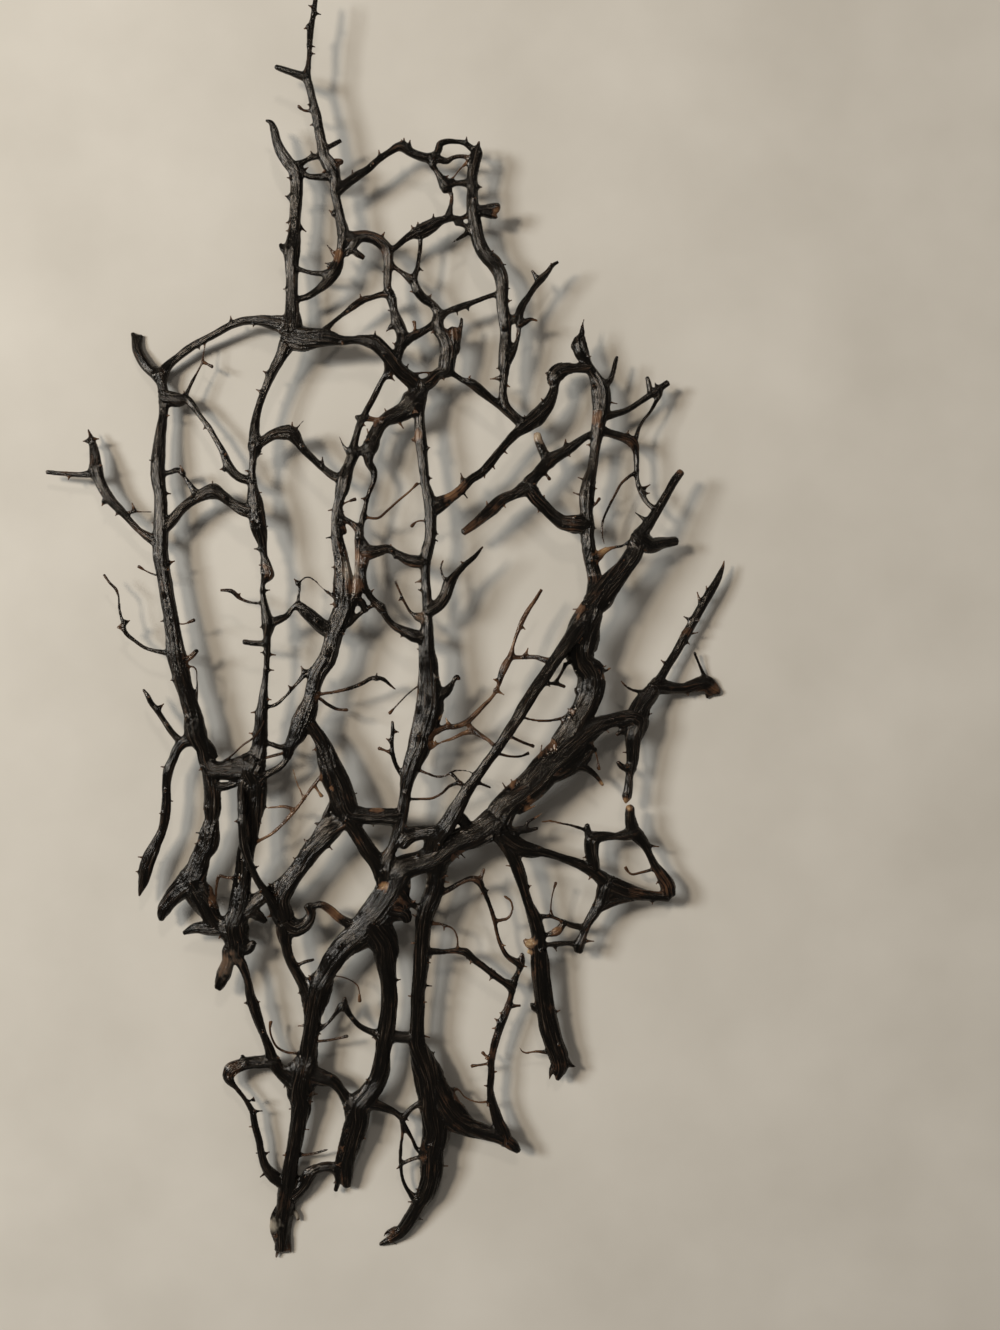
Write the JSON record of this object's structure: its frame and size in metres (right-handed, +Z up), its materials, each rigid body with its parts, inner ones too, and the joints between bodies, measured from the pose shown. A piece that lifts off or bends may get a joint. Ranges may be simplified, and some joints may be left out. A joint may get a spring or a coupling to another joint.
{
  "type": "sea fan",
  "caption": "Dry black sea fan skeleton: a flat open net of tapering branches fused at their forks, lying on its side.",
  "frame": {"origin": "centre of the bounding box at the surface that the fan lies on", "axes": "+Y from the cut stem towards the crown, +X to the right as seen from above, +Z up, away from the surface"},
  "size_m": [0.2732, 0.506, 0.0243],
  "materials": {
    "black_skin": "satin",
    "brown_twig": "satin"
  },
  "bodies": {
    "root": {"stem": "black_skin", "long_diagonal": "black_skin", "centre_trunk": "black_skin", "inner_trunk": "black_skin", "left_inner_trunk": "black_skin", "left_trunk": "black_skin", "right_trunk": "black_skin", "right_cross_limb": "black_skin", "right_lower_limb": "black_skin", "lower_left_limb": "black_skin", "crown_left_limb": "black_skin", "crown_spire": "black_skin", "crown_right_limb": "black_skin", "cross_arm": "black_skin", "crown_centre_limb": "black_skin", "crown_arch": "black_skin", "crown_link": "black_skin", "upper_left_limb": "black_skin", "upper_left_link": "black_skin", "upper_left_arch": "black_skin", "left_tip": "black_skin", "left_arch": "black_skin", "left_foot": "black_skin", "left_claw": "black_skin", "inner_arch": "black_skin", "inner_strand": "black_skin", "inner_fork": "black_skin", "left_tangle": "brown_twig", "lower_left_fork": "black_skin", "front_rod": "black_skin", "left_loop": "black_skin", "centre_spray": "brown_twig", "right_wing": "black_skin", "right_fork": "black_skin", "lower_web": "black_skin", "right_tip": "black_skin", "right_link": "black_skin", "right_ring": "black_skin", "hanging_limb": "black_skin", "middle_limb": "black_skin", "lower_right_limb": "black_skin", "lower_spur": "brown_twig"}
  },
  "joints": []
}
